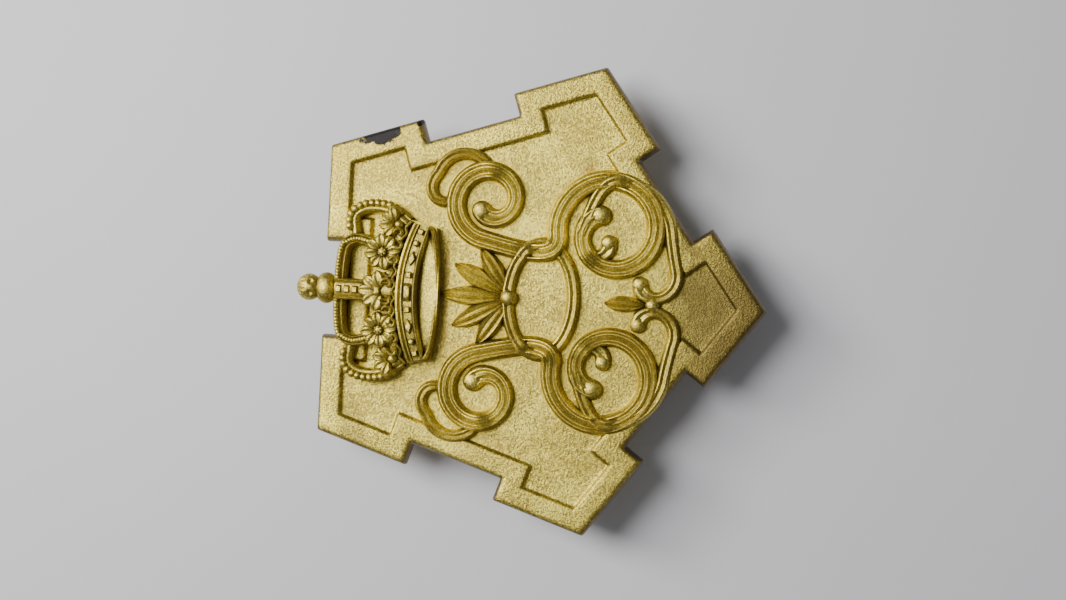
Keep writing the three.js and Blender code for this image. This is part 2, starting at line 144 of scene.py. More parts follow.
def round_axis(x, y, radius, angle, z):
    """Points at a radius and an angle round an upright axis through (x, y), at height z."""
    return stacked(x + radius * np.cos(angle), y + radius * np.sin(angle), z)


print("a closed 4 by 3 grid has", len(grid_faces(4, 3, True, True)), "faces")

# %% [markdown]
# A shell is its points, its four-sided faces and its end faces, which may have any number of
# corners. Three kinds are enough for the whole badge: a tube of sections, a raised patch, and a
# profile turned round an axis, as on a lathe.

# %% Grids become closed shells
def tube_shell(points, close_rows=False):
    """Sections (rows) that each close on themselves; the first and last get an end face."""
    rows, columns = points.shape[:2]
    first = np.arange(columns)
    ends = [] if close_rows else [first, first[::-1] + (rows - 1) * columns]
    return points.reshape(-1, 3), grid_faces(rows, columns, close_rows, True), ends


def relief_shell(x, y, z, floor):
    """A raised patch: the grid's edge drops straight to the floor and a flat face closes it."""
    x, y = np.pad(x, 1, "edge"), np.pad(y, 1, "edge")
    z = np.pad(z, 1, constant_values=floor)
    rows, columns = x.shape
    index = np.arange(rows * columns).reshape(rows, columns)
    rim = np.concatenate([index[0, :], index[1:, -1], index[-1, -2::-1], index[-2:0:-1, 0]])
    return stacked(x, y, z).reshape(-1, 3), grid_faces(rows, columns), [rim[::-1]]


def turned_shell(profile, x, y, steps=48, bore=False, teeth=0, tooth_depth=0.0):
    """A profile of (radius, z) turned about an upright axis through (x, y). With a bore the
    profile closes on itself; teeth cut V grooves where the radius is at its greatest."""
    radius, z = np.array(profile, float).T
    angle = np.linspace(0, 2 * np.pi, steps, endpoint=False)[:, None]
    groove = np.abs((angle * teeth / (2 * np.pi)) % 1 * 2 - 1) * tooth_depth
    widest = radius.max()
    radius = radius - groove * np.clip((radius - 0.86 * widest) / (0.1 * widest), 0, 1)
    points = round_axis(x, y, radius, angle, z)
    return points.reshape(-1, 3), grid_faces(steps, len(z), True, bore), []


sample_ring = turned_shell([(1, 0), (2, 0), (2, 1)], 0, 0, steps=12, bore=True)
print("a three-sided ring turned in 12 steps has", len(sample_ring[1]), "faces")

# %% [markdown]
# Shells that belong together become one object. Doubled points at poles are merged, faces are
# turned outwards, and edges sharper than an angle keep their crease. The object then rides on a
# body and stands for the CAD nodes that it shows in finer form.

# %% Shells become a piece
def piece(name, shells, finish, body, slot, *replaced, sharp=38.0, edge_wear_and_shade=None):
    """One object from shells given in mm; it rides on a body and stands for CAD nodes. Values of
    worn, one for each point, become an attribute that its finish can read."""
    faces, start = [], 0
    for points, quads, ends in shells:
        faces += (quads + start).tolist() + [(end + start).tolist() for end in ends]
        start += len(points)
    mesh = bpy.data.meshes.new(name)
    mesh.from_pydata((np.vstack([shell[0] for shell in shells]) * MM).tolist(), [], faces)
    if edge_wear_and_shade is not None:
        wear = mesh.attributes.new("edge_wear_and_shade", "FLOAT", "POINT")
        wear.data.foreach_set("value", np.ravel(edge_wear_and_shade))
    shape = bmesh.new()
    shape.from_mesh(mesh)
    bmesh.ops.remove_doubles(shape, verts=shape.verts, dist=1e-8)
    bmesh.ops.dissolve_degenerate(shape, edges=shape.edges, dist=1e-9)
    bmesh.ops.recalc_face_normals(shape, faces=shape.faces)
    shape.to_mesh(mesh)
    shape.free()
    mesh.shade_smooth()
    mesh.set_sharp_from_angle(angle=np.radians(sharp))
    mesh.materials.append(finish)
    made = bpy.data.objects.new(name, mesh)
    bpy.context.collection.objects.link(made)
    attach(made, body)
    if replaced:
        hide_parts(*replaced)
    print(f"{name}: {len(shells)} shells, {len(mesh.polygons)} faces")


# %% [markdown]
# ## Tools for finishes
#
# A material's pattern is arithmetic on numbers that vary over the surface. Adding Math nodes by
# hand hides that arithmetic, so a small class wraps a socket and lets Python's own operators add
# the nodes. Any other node comes from one method that takes its type, settings and inputs.

# %% Shader maths as Python expressions
class Varying:
    """A number that varies over the surface: an operator on it adds a Math node."""

    def __init__(self, finish, socket):
        self.finish, self.socket = finish, socket

    def math(self, operation, first, second):
        made = self.finish.node("ShaderNodeMath", {"operation": operation}, {0: first, 1: second})
        return Varying(self.finish, made.outputs[0])

    def __add__(self, other):
        return self.math("ADD", self, other)

    __radd__ = __add__

    def __sub__(self, other):
        return self.math("SUBTRACT", self, other)

    def __rsub__(self, other):
        return self.math("SUBTRACT", other, self)

    def __mul__(self, other):
        return self.math("MULTIPLY", self, other)

    __rmul__ = __mul__

    def __truediv__(self, other):
        return self.math("DIVIDE", self, other)

    def __pow__(self, power):
        return self.math("POWER", self, power)


class Finish:
    """A node material that is built by expressions."""

    def __init__(self, name, metallic=1.0):
        self.material = bpy.data.materials.new(name)
        self.material.use_nodes = True
        self.tree = self.material.node_tree
        self.shader = self.tree.nodes["Principled BSDF"]
        self.shader.inputs["Metallic"].default_value = metallic
        self.place = self.node("ShaderNodeTexCoord").outputs["Object"]

    def node(self, kind, settings=None, inputs=None):
        """Adds a node: its settings first, then its inputs as values or links."""
        made = self.tree.nodes.new(kind)
        for key, value in (settings or {}).items():
            setattr(made, key, value)
        for key, value in (inputs or {}).items():
            self.set(made.inputs[key], value)
        return made

    def set(self, socket, value):
        """Links a socket to a varying value, or gives it a fixed one."""
        if isinstance(value, Varying):
            value = value.socket
        if isinstance(value, bpy.types.NodeSocket):
            self.tree.links.new(value, socket)
        else:
            socket.default_value = value

    def vector(self, operation, *values):
        """The outputs of a Vector Math node on places, which are in metres."""
        settings = {"operation": operation}
        return self.node("ShaderNodeVectorMath", settings, dict(enumerate(values))).outputs

    def noise(self, size_mm, detail=3.0, roughness=0.6, seed=0.0):
        """Fractal noise from 0 to 1 whose largest features are about size_mm across."""
        moved = self.vector("ADD", self.place, (seed, seed, 0.0))["Vector"]
        inputs = {"Vector": moved, "Scale": 1.0 / (size_mm * MM)}
        inputs |= {"Detail": detail, "Roughness": roughness}
        return Varying(self, self.node("ShaderNodeTexNoise", {}, inputs).outputs["Fac"])

    def step(self, value, low, high):
        """0 below low, 1 above high and smooth between."""
        inputs = {"Value": value, "From Min": low, "From Max": high}
        made = self.node("ShaderNodeMapRange", {"interpolation_type": "SMOOTHSTEP"}, inputs)
        return Varying(self, made.outputs["Result"])

    def height(self):
        """How far a point lies above the plate's back, in mm."""
        made = self.node("ShaderNodeSeparateXYZ", {}, {0: self.place})
        return Varying(self, made.outputs["Z"]) / MM

    def along(self, degrees, x=0.0, y=0.0):
        """How far a point lies from (x, y) mm in one direction across the badge, in mm."""
        off = self.vector("SUBTRACT", self.place, (x * MM, y * MM, 0.0))["Vector"]
        way = (np.cos(np.radians(degrees)), np.sin(np.radians(degrees)), 0.0)
        return Varying(self, self.vector("DOT_PRODUCT", off, way)["Value"]) / MM

    def blot(self, x, y, length, width, degrees, wobble):
        """1 inside an oval at (x, y) mm, turned by degrees, and 0 outside; wobble roughens it."""
        long = self.along(degrees, x, y) / (length / 2)
        wide = self.along(degrees + 90, x, y) / (width / 2)
        return 1 - self.step(long**2 + wide**2 + (wobble - 0.5) * 3.2, 0.85, 1.05)

    def cavity(self, distance_mm):
        """1 in the open and towards 0 in corners, from how much of the surroundings is close."""
        inputs = {"Distance": distance_mm * MM}
        made = self.node("ShaderNodeAmbientOcclusion", {"samples": 8}, inputs)
        return Varying(self, made.outputs["AO"])

    def mixed(self, factor, first, second):
        """A colour between two colours."""
        made = self.node("ShaderNodeMix", {"data_type": "RGBA", "clamp_factor": True})
        for key, value in (("Factor", factor), ("A", first), ("B", second)):
            self.set(made.inputs[key], value)
        return made.outputs["Result"]

    def bump(self, height, depth_mm, strength=1.0):
        """A surface normal from a height of 0 to 1 that stands for depth_mm."""
        inputs = {"Height": height, "Distance": depth_mm * MM, "Strength": strength}
        made = self.node("ShaderNodeBump", {}, inputs)
        self.set(self.shader.inputs["Normal"], made.outputs["Normal"])


def colour(red, green, blue):
    """A linear colour with full alpha."""
    return (red, green, blue, 1.0)


print("what a finish can do:", [name for name in vars(Finish) if name[0] != "_"])

# %% [markdown]
# ## Gilt brass
#
# The face was blasted with fine grit before it was gilded, so it sparkles: every grain faces its
# own way. Bump from noise about a fifth of a millimetre across gives that. Over it lie large
# soft changes of colour, brown painted shade in the corners, partly tarnish, painted shade that
# darkens the face towards the tip, and dark edges: wear where the gilding has gone, with painted
# shade on the outer walls. All of it could be painted on an image, but noise and distances stay
# sharp at any size and need no unwrapping.

# %% Gilt brass
GOLD = colour(0.64, 0.505, 0.088)
PALE_GOLD = colour(0.88, 0.735, 0.14)
SHADE_GOLD = colour(0.33, 0.25, 0.055)
# the saturated gold of painted shade in the plate's corners
CORNER_SHADE_GOLD = colour(0.66, 0.50, 0.06)
# the brown of painted shade in corners, under the crown's band and at the tip, and of tarnish
SHADE_AND_TARNISH = colour(0.13, 0.088, 0.028)
OLIVE_SHADE = colour(0.24, 0.185, 0.05)
# the dull colour of painted shade towards the tip, and of dull patches
SHADE_AND_DULL_GOLD = colour(0.16, 0.115, 0.035)
# the brown of worn edges and of painted shade on the outer walls
EDGE_WEAR_AND_SHADE_BROWN = colour(0.15, 0.105, 0.05)
STAIN_BROWN = colour(0.25, 0.125, 0.03)
BARE_DARK = colour(0.035, 0.032, 0.03)
TO_TIP = -97  # degrees, the way towards the tip, in which painted shade darkens the gilding


def gilt_brass(name, grain_mm, grain_depth, reach_mm, hollow, roughness, worn_and_shaded_edge=0.0, blots=()):
    """Sandblasted gilt: noise grain as bump, soft colour patches, brown painted shade in the
    corners, partly tarnish, and painted shade towards the tip. hollow is the colour of the corner
    shade, and the outer edges can go brown with wear and painted shade. Each blot is (x, y,
    length, width, degrees, strength, colour), in mm, on the face only."""
    brass = Finish(name)
    broad = brass.noise(4.5, 3.0, 0.6, 0.0)
    middle = brass.noise(0.8, 3.0, 0.65, 0.02)
    grain = brass.noise(grain_mm, 3.0, 0.8, 0.05)
    speckle = brass.step(grain * 0.8 + middle * 0.2, 0.41, 0.6)
    tone = brass.mixed(speckle, SHADE_GOLD, GOLD)
    tone = brass.mixed(brass.step(grain * 0.6 + broad * 0.4, 0.47, 0.64), tone, PALE_GOLD)
    # Painted shade: darker and browner where the surroundings are close, in corners and beside the
    # strands, partly tarnish
    corner_shade = 1 - brass.cavity(reach_mm) + (middle - 0.5) * 0.2
    tone = brass.mixed(brass.step(corner_shade, 0.16, 0.45) * 0.65, tone, hollow)
    deep_corner_shade = brass.step(corner_shade, 0.45, 0.85)
    tone = brass.mixed(deep_corner_shade * 0.85, tone, SHADE_AND_TARNISH)
    # Painted shade: the face grows darker towards the tip, away from the light
    towards_tip = brass.along(TO_TIP)
    tip_shade = brass.step(towards_tip + (broad - 0.5) * 12, 9.0, 27.0)
    tone = brass.mixed(tip_shade * 0.66, tone, SHADE_AND_DULL_GOLD)
    deep_tip_shade = brass.step(towards_tip + (broad - 0.5) * 9, 12.0, 22.0)
    tone = brass.mixed(deep_tip_shade * 0.72, tone, SHADE_AND_TARNISH)
    rough = roughness + (middle - 0.5) * 0.2 + deep_corner_shade * 0.15 + tip_shade * 0.05
    # The outer walls and the rim's edge go brown: wear, with painted shade on the walls
    if worn_and_shaded_edge:
        attribute = brass.node("ShaderNodeAttribute", {"attribute_name": "edge_wear_and_shade"})
        edge = Varying(brass, attribute.outputs["Fac"])
        edge = edge + (middle - 0.5) * 0.9 + (broad - 0.5) * 0.8
        tone = brass.mixed(brass.step(edge, 0.32, 0.85) * worn_and_shaded_edge, tone, EDGE_WEAR_AND_SHADE_BROWN)
    uneven = brass.noise(0.8, 4.0, 0.75, 0.03)
    front = brass.step(brass.height(), 0.25, 0.7)
    for x, y, length, width, degrees, strength, stain in blots:
        patch = brass.blot(x, y, length, width, degrees, uneven) * front * strength
        tone = brass.mixed(patch, tone, stain)
        rough = rough + patch * 0.12
    brass.set(brass.shader.inputs["Base Color"], tone)
    brass.set(brass.shader.inputs["Roughness"], rough)
    brass.bump(grain, grain_depth)
    return brass.material


# Patches on the face: bare wear, stains and dark patches; those below y = -15 mm make the tip
# darker still
plate_blots = [
    (15.0, 13.8, 4.2, 2.3, -72, 1.0, BARE_DARK),
    (16.1, 10.2, 0.7, 0.6, 0, 1.0, BARE_DARK),
    (12.1, -6.1, 3.4, 2.0, 20, 0.22, STAIN_BROWN),
    (12.2, -6.2, 1.7, 0.8, 30, 0.4, STAIN_BROWN),
    (0.0, 7.0, 10.5, 0.7, 0, 0.45, STAIN_BROWN),
    (-6.7, -3.9, 0.5, 0.35, 30, 0.9, BARE_DARK),
    (0.3, -17.2, 7.5, 6.0, 0, 0.45, SHADE_AND_DULL_GOLD),
    (0.7, -16.5, 4.0, 2.2, 0, 0.35, SHADE_AND_TARNISH),
    (5.9, -15.8, 3.0, 1.4, 36, 0.45, SHADE_AND_TARNISH),
    (-13.0, 15.2, 6.0, 2.4, 12, 0.32, SHADE_AND_DULL_GOLD),
    (-19.0, -10.6, 9.0, 2.0, -54, 0.5, SHADE_AND_DULL_GOLD),
    (-5.8, -17.0, 9.0, 2.2, -36, 0.4, SHADE_AND_TARNISH),
]
# A painted shadow under the crown's band, over the band's inside
painted_band_shadow = (0.0, 9.35, 9.5, 0.8, 0, 0.6, SHADE_AND_TARNISH)
plate_brass = gilt_brass(
    "gilt_brass_plate", grain_mm=0.22, grain_depth=0.072, reach_mm=0.6, hollow=CORNER_SHADE_GOLD,
    roughness=0.38, worn_and_shaded_edge=0.92, blots=plate_blots)
relief_brass = gilt_brass(
    "gilt_brass_relief", grain_mm=0.17, grain_depth=0.04, reach_mm=0.45, hollow=OLIVE_SHADE,
    roughness=0.40, blots=[painted_band_shadow])
print("finishes:", plate_brass.name, relief_brass.name)

# %% [markdown]
# ## The plate
#
# The outline is a pentagon whose corners are bastions: on each side two long faces run from the
# points, and the middle, the curtain, lies further in behind short square flanks. A bevel
# modifier could round its edges, but here each ring of the surface is the outline itself, moved
# inwards by a mitre and raised to a height, so that the rim, the sloped pocket and the rounded
# edges all come from one list of (inset, height) pairs.

# %% Plate outline
plate_low, plate_high = box_mm("plate")
circumradius = -plate_low[1]
plate_top = plate_high[2]
field_top = box_mm("scrollwork")[0][2]
BASTION_FACE = 9.2  # from a point to its shoulder
FLANK = 2.2  # from the shoulder in to the curtain


def bastion_outline():
    """Points, shoulders and curtain corners: steps along and square to each pentagon side."""
    angle = np.radians(54 + 72 * np.arange(5))
    points = circumradius * np.stack([np.cos(angle), np.sin(angle)], axis=1)
    after = np.roll(points, -1, axis=0)
    along = unit(after - points)
    inward = np.stack([-along[:, 1], along[:, 0]], axis=1)
    first, second = points + along * BASTION_FACE, after - along * BASTION_FACE
    corners = [points, first, first + inward * FLANK, second + inward * FLANK, second]
    return np.stack(corners, axis=1).reshape(-1, 2)


def inset(points, distance):
    """Each corner moves along its mitre: the two edge normals' sum over one plus their product."""
    u = unit(points - np.roll(points, 1, axis=0))
    v = unit(np.roll(points, -1, axis=0) - points)
    mitre = np.stack([-u[:, 1] - v[:, 1], u[:, 0] + v[:, 0]], axis=1)
    return points + distance * mitre / (1 + np.sum(u * v, axis=1))[:, None]


def rounded(points, radius, corner_steps=6, edge_steps=5):
    """Each corner becomes a parabola between two points on its edges, one radius away."""
    start = points + radius * unit(np.roll(points, 1, axis=0) - points)
    end = points + radius * unit(np.roll(points, -1, axis=0) - points)
    t = np.linspace(0, 1, corner_steps)[None, :, None]
    a, b, c = start[:, None], points[:, None], end[:, None]
    bends = (1 - t) ** 2 * a + 2 * t * (1 - t) * b + t**2 * c
    s = (np.arange(1, edge_steps + 1) / (edge_steps + 1))[None, :, None]
    edges = (1 - s) * c + s * np.roll(start, -1, axis=0)[:, None]
    return np.concatenate([bends, edges], axis=1).reshape(-1, 2)


print("outline corners:", len(bastion_outline()))

# %% Plate surface
PLATE_SECTION = [  # (inset, height, corner radius) from the back over the rim to the field
    (0.80, 0.00, 0.3), (0.12, 0.00, 0.2), (0.03, 0.03, 0.2), (0.00, 0.12, 0.2), (0.00, 0.60, 0.2),
    (0.06, 1.05, 0.22), (0.15, 1.40, 0.24), (0.22, 1.58, 0.26), (0.32, 1.70, 0.30),
    (0.46, 1.77, 0.34), (0.64, 1.795, 0.36), (0.90, 1.80, 0.36), (1.70, 1.80, 0.30),
    (2.00, 1.797, 0.26), (2.12, 1.78, 0.24), (2.22, 1.72, 0.22), (2.32, 1.56, 0.20),
    (2.38, 1.46, 0.18), (2.46, 1.415, 0.16), (2.60, 1.40, 0.15), (3.20, 1.40, 0.15),
]


def plate_shell():
    """One closed ring per section entry, from the back's edge to the field's edge. A ring's edge
    value, for wear and painted shade, is 1 on the outer wall and falls to 0 over the first half
    millimetre of the rim."""
    outline = bastion_outline()
    rings = []
    for distance, height, radius in PLATE_SECTION:
        flat = rounded(inset(outline, distance), radius)
        rings.append(np.column_stack([flat, np.full(len(flat), height)]))
    rings = np.array(rings)
    edge_wear_and_shade = 1 - np.clip((np.array(PLATE_SECTION)[:, 0] - 0.1) / 0.45, 0, 1)
    return tube_shell(rings), np.repeat(edge_wear_and_shade, rings.shape[1])


plate_surface, plate_edge_wear_and_shade = plate_shell()
piece("badge_plate", [plate_surface], plate_brass, "badge", "gilt_brass", "plate", edge_wear_and_shade=plate_edge_wear_and_shade)

# %% [markdown]
# ## The scrollwork
#
# Each strand is a line carrying a profile: a low dome with long flutes. The lines are spirals
# joined by cubics, drawn on the right and mirrored. Where two strands cross, one rises and the
# other sinks, in turn along the strand, so that they look woven although they were struck as one.

# %% Spirals and joins
def spiral(centre, outer, inner, start, sweep, tighten=1.0, steps=90):
    """From the outer end inwards: the angle grows evenly, the radius falls as a power of that."""
    t = np.linspace(0, 1, steps)
    radius = outer + (inner - outer) * t**tighten
    return round_axis(*centre, radius, np.radians(start + sweep * t), 0.0)[:, :2]


def joined(first, second, fullness, steps=24):
    """A cubic Bezier curve leaves one line and enters the next along their own directions."""
    a, b = first[-1], second[0]
    reach = np.linalg.norm(b - a) * fullness / 3
    c = a + reach * unit(a - first[-2])
    d = b - reach * unit(second[1] - b)
    t = np.linspace(0, 1, steps)[1:-1, None]
    middle = (1 - t) ** 3 * a + 3 * t * (1 - t) ** 2 * c + 3 * t**2 * (1 - t) * d + t**3 * b
    return np.vstack([first, middle, second])


def evenly(line, spacing):
    """The same line with points at one spacing, by its length so far."""
    length = np.r_[0, np.cumsum(np.linalg.norm(np.diff(line, axis=0), axis=1))]
    keep = np.r_[True, np.diff(length) > 1e-9]
    even = np.linspace(0, length[-1], max(12, int(length[-1] / spacing)))
    return np.stack([np.interp(even, length[keep], line[keep, k]) for k in (0, 1)], axis=1)


STRAND_STEP = 0.16  # mm between the points of a strand
lower_ring = spiral((6.7, -8.3), 4.95, 1.7, 98, -425, 1.9)
upper_curl = spiral((9.0, 3.0), 3.75, 1.3, 172, -395, 1.15)
side_bow = spiral((10.6, 5.6), 2.8, 2.7, -75, 130)
side_tip = spiral((9.9, 7.2), 1.75, 0.95, 40, 200)
hook = spiral((5.6, -7.3), 1.9, 0.95, 60, 210)
hook_bow = spiral((6.1, -8.7), 5.3, 5.3, -4, -78)
foot_curl = spiral((2.4, -12.2), 2.6, 1.0, -70, -170, 1.2)
main_scroll = evenly(joined(lower_ring[::-1], upper_curl, 1.15), STRAND_STEP)
side_curl = evenly(joined(side_bow, side_tip, 0.9), STRAND_STEP)
tendril = evenly(joined(joined(hook[::-1], hook_bow, 1.05), foot_curl, 0.9), STRAND_STEP)
ring_angle = np.linspace(0, 2 * np.pi, 180, endpoint=False)
middle_ring = np.stack([5.2 * np.cos(ring_angle), -2.1 + 3.1 * np.sin(ring_angle)], axis=1)
print("strand points:", len(main_scroll), len(side_curl), len(tendril), len(middle_ring))


# %% Crossings lift one strand over the other
def crossings(first, second):
    """Where two lines cross, as (index on the first, index on the second): the ends of each
    step lie on opposite sides of the other line, which the signs of two areas tell."""
    a, b = first[:-1, None], first[1:, None]
    c, d = second[None, :-1], second[None, 1:]

    def side(p, q, r):
        u, v = q - p, r - p
        return u[..., 0] * v[..., 1] - u[..., 1] * v[..., 0]

    hit = (side(a, b, c) * side(a, b, d) < 0) & (side(c, d, a) * side(c, d, b) < 0)
    return np.argwhere(hit)


def rise(count, places, amounts, spread):
    """A sum of bell curves along a strand, one at each crossing."""
    index = np.arange(count)[:, None]
    bells = np.exp(-(((index - np.array(places)[None]) / spread) ** 2))
    return bells @ np.array(amounts) if len(places) else np.zeros(count)


OVER, UNDER = 0.30, -0.20  # mm that a strand rises or sinks where it crosses
others = {"side": side_curl, "tendril": tendril, "ring": middle_ring}
meetings = sorted(
    (int(i), name, int(j))
    for name, line in others.items()
    for i, j in crossings(main_scroll, line)
)
lifts = {name: ([], []) for name in ("main", *others)}
for order, (i, name, j) in enumerate(meetings):
    mine, theirs = (OVER, UNDER) if order % 2 == 0 else (UNDER, OVER)
    for key, place, amount in (("main", i, mine), (name, j, theirs)):
        lifts[key][0].append(place)
        lifts[key][1].append(amount)
half_ring = len(middle_ring) // 2
lifts["ring"] = (
    lifts["ring"][0] + [(half_ring - j) % len(middle_ring) for j in lifts["ring"][0]],
    lifts["ring"][1] * 2,
)
print("crossings on each main strand:", len(meetings))


# %% [markdown]
# A strand's section is the same all along: a vertical side, a low dome and long flutes. A curve
# with a bevel object would carry it too, but a grid lets the width, the height and the lift
# change from point to point, and gives an even mesh.

# %% A ribbon with flutes
def left_of(line, closed=False):
    """Unit vectors to a line's left: its direction, turned by a right angle."""
    around = np.roll(line, -1, axis=0) - np.roll(line, 1, axis=0)
    along = unit(around if closed else np.gradient(line, axis=0))
    return np.stack([-along[:, 1], along[:, 0]], axis=1)


def ribbon_shell(line, width, height, lift, ridges, floor, across=25, flute=0.46, closed=False):
    """A profile carried along a line. Across it v runs from -1 to 1: the height is a dome, the
    square root of 1 minus v to the sixth, cut by a cosine with one crest for each ridge."""
    side = left_of(line, closed)
    v = np.linspace(-1, 1, across)
    v = np.sign(v) * np.abs(v) ** 0.9
    crest = 0.5 - 0.5 * np.cos(np.pi * ridges * v + (ridges - 1) * np.pi)
    dome = np.sqrt(np.clip(1 - v**6, 0, 1)) * (1 - flute * crest)
    v = np.r_[-1.04, v, 1.04]
    width, height, lift, floor = [
        np.broadcast_to(value, len(line)) for value in (width, height, lift, floor)]
    x = line[:, :1] + side[:, :1] * v * width[:, None] / 2
    y = line[:, 1:] + side[:, 1:] * v * width[:, None] / 2
    bed = np.maximum(floor + 0.42 * height + lift, floor + 0.02)[:, None]
    top = bed + 0.58 * height[:, None] * dome[None]
    z = np.hstack([floor[:, None], top, floor[:, None]])
    return tube_shell(np.stack([x, y, z], axis=-1), close_rows=closed)


def tapered(count, middle, end, share=0.22):
    """A width that swells from its ends as the quarter of a sine."""
    t = np.linspace(0, 1, count)
    return end + (middle - end) * np.sin(np.clip(np.minimum(t, 1 - t) / share, 0, 1) * np.pi / 2)


def clubbed(count, middle, neck, bulb, share=0.07):
    """A tapered width that opens again to a bulb at both ends, as a cosine over the last share."""
    t = np.linspace(0, 1, count)
    near = np.clip(1 - np.minimum(t, 1 - t) / share, 0, 1)
    return tapered(count, middle, neck) + (bulb - neck) * (1 - np.cos(near * np.pi)) / 2


def sphere_angles(steps):
    """Longitudes down the rows and latitudes along the columns."""
    longitude = np.linspace(0, 2 * np.pi, steps, endpoint=False)[:, None]
    return longitude, np.linspace(-np.pi / 2, np.pi / 2, steps // 2 + 1)[None]


def ball_shell(x, y, z, radius, flat=1.0, steps=20):
    """A sphere: the cosine of the latitude across and its sine up, flattened in height."""
    longitude, latitude = sphere_angles(steps)
    rise_mm = z + flat * radius * np.sin(latitude)
    points = round_axis(x, y, radius * np.cos(latitude), longitude, rise_mm)
    return points.reshape(-1, 3), grid_faces(steps, steps // 2 + 1, close_rows=True), []


def leaf_shell(x, y, length, width, degrees, height, floor, ridges=2, across=13, steps=22):
    """A straight ribbon as wide as a leaf: its width is a sine of the length, and it is fullest
    a little beyond the middle."""
    reach = length / (steps - 1) * np.arange(1, steps + 1)
    line = round_axis(x, y, reach, np.radians(degrees), 0.0)[:, :2]
    t = np.linspace(0, 1, steps)
    swell = np.sin(np.pi * np.clip(t, 0.02, 0.985) ** 1.25) ** 0.65
    height = height * (0.45 + 0.55 * swell)
    return ribbon_shell(line, width * swell, height, 0.0, ridges, floor, across)


print("a leaf has", len(leaf_shell(0, 0, 5, 1.5, 90, 0.9, 0)[1]), "faces")

# %% [markdown]
# The strands, the leaves and the swollen ends lie on the recessed field. They are drawn at their
# real size in the badge's own axes, so nothing has to be fitted: only the field's height comes
# from the CAD scrollwork's box.

# %% Scrollwork
STRAND_HEIGHT, TENDRIL_HEIGHT = 0.98, 0.80
END_HEIGHT = 0.3  # mm above the field, the middle of a strand's swollen end
main_count, side_count, tendril_count = len(main_scroll), len(side_curl), len(tendril)
STRANDS = {  # line, width, height, how far a lift spreads, flutes, points across
    "main": (
        main_scroll, clubbed(main_count, 1.85, 1.3, 1.9),
        tapered(main_count, STRAND_HEIGHT, 0.8), 6.0, 3, 25),
    "side": (
        side_curl, tapered(side_count, 1.15, 0.6),
        tapered(side_count, TENDRIL_HEIGHT, 0.5), 5.5, 2, 15),
    "tendril": (
        tendril, clubbed(tendril_count, 1.25, 0.95, 1.5, 0.1),
        tapered(tendril_count, TENDRIL_HEIGHT, 0.6), 6.5, 2, 15),
}
STRAND_ENDS = [  # where, radius, flatness
    (main_scroll[0], 0.97, 0.6), (main_scroll[-1], 0.95, 0.6), (tendril[0], 0.77, 0.6),
    (tendril[-1], 0.75, 0.6), (side_curl[-1], 0.42, 0.9),
]


def scroll_shells():
    shells = []
    for flip in (1, -1):
        for key, (line, width, height, spread, ridges, across) in STRANDS.items():
            lift = rise(len(line), *lifts[key], spread)
            shells.append(ribbon_shell(
                line * [flip, 1], width, height, lift, ridges, field_top, across))
        for (x, y), radius, flat in STRAND_ENDS:
            shells.append(ball_shell(x * flip, y, field_top + END_HEIGHT, radius, flat))
    ring_lift = rise(len(middle_ring), *lifts["ring"], 5.5)
    shells.append(ribbon_shell(
        middle_ring, 1.25, TENDRIL_HEIGHT, ring_lift, 2, field_top, 15, closed=True))
    for degrees, length in ((90, 6.3), (62, 5.9), (118, 5.9), (34, 5.2), (146, 5.2)):
        shells.append(leaf_shell(0, 0.7, length, 1.75, degrees, 0.95, field_top, ridges=3))
    shells.append(ball_shell(0, 0.9, field_top + 0.4, 0.85, 0.85))
    shells.append(leaf_shell(0, -12.3, 4.0, 1.5, 90, 0.85, field_top, ridges=3))
    shells.append(ball_shell(0, -12.6, field_top + 0.35, 0.7, 0.75))
    return shells


piece("badge_scrollwork", scroll_shells(), relief_brass, "badge", "gilt_brass", "scrollwork")

# %% [markdown]
# ## The crown
#
# The crown is half of a round crown seen a little from below, so its band is an arc and the
# inside of the band shows under it as a lens. It is drawn from its base: x to each side, y up.
# The band and the lens are patches over (across, up); the arches are ribs with rows of pearls;
# the flowers are rings of petals; and every jewel is a small dome with its own outline.

# %% Crown patches
crown_low, crown_high = box_mm("crown")
BASE_Y = crown_low[1]
CROWN_FACE = crown_high[2]
CROWN_FLOOR = plate_top - 0.2


def arc(across, end_y, middle_y):
    """A parabola's height: middle_y in the middle and end_y at across = 1 and -1."""
    return middle_y + (end_y - middle_y) * across**2


def roundness(across):
    """The crown is round, so its front falls away to the sides as the square of across."""
    return CROWN_FACE - 0.16 - 0.85 * across**2


def smooth(v, places, heights):
    """Heights at places, joined by halves of a cosine."""
    k = np.clip(np.searchsorted(places, v) - 1, 0, len(places) - 2)
    places, heights = np.array(places, float), np.array(heights, float)
    t = (v - places[k]) / (places[k + 1] - places[k])
    return heights[k] + (heights[k + 1] - heights[k]) * (0.5 - 0.5 * np.cos(np.pi * t))


def bow(across, end_y, middle_y):
    """Half an ellipse, hanging from end_y at both ends down to middle_y."""
    return end_y + (middle_y - end_y) * np.sqrt(np.clip(1 - across**2, 0, 1))


def patch_shell(half_low, half_high, low, high, height, across=121, up=31, lower=arc):
    """A patch between two arcs; its height is a function of (across, up)."""
    u, v = np.meshgrid(np.linspace(-1, 1, across), np.linspace(0, 1, up), indexing="ij")
    if lower is bow:
        u = np.sin(u * np.pi / 2)
    x = u * (half_low + (half_high - half_low) * v)
    y = BASE_Y + lower(u, *low) * (1 - v) + arc(u, *high) * v
    return relief_shell(x, y, height(u, v), CROWN_FLOOR)


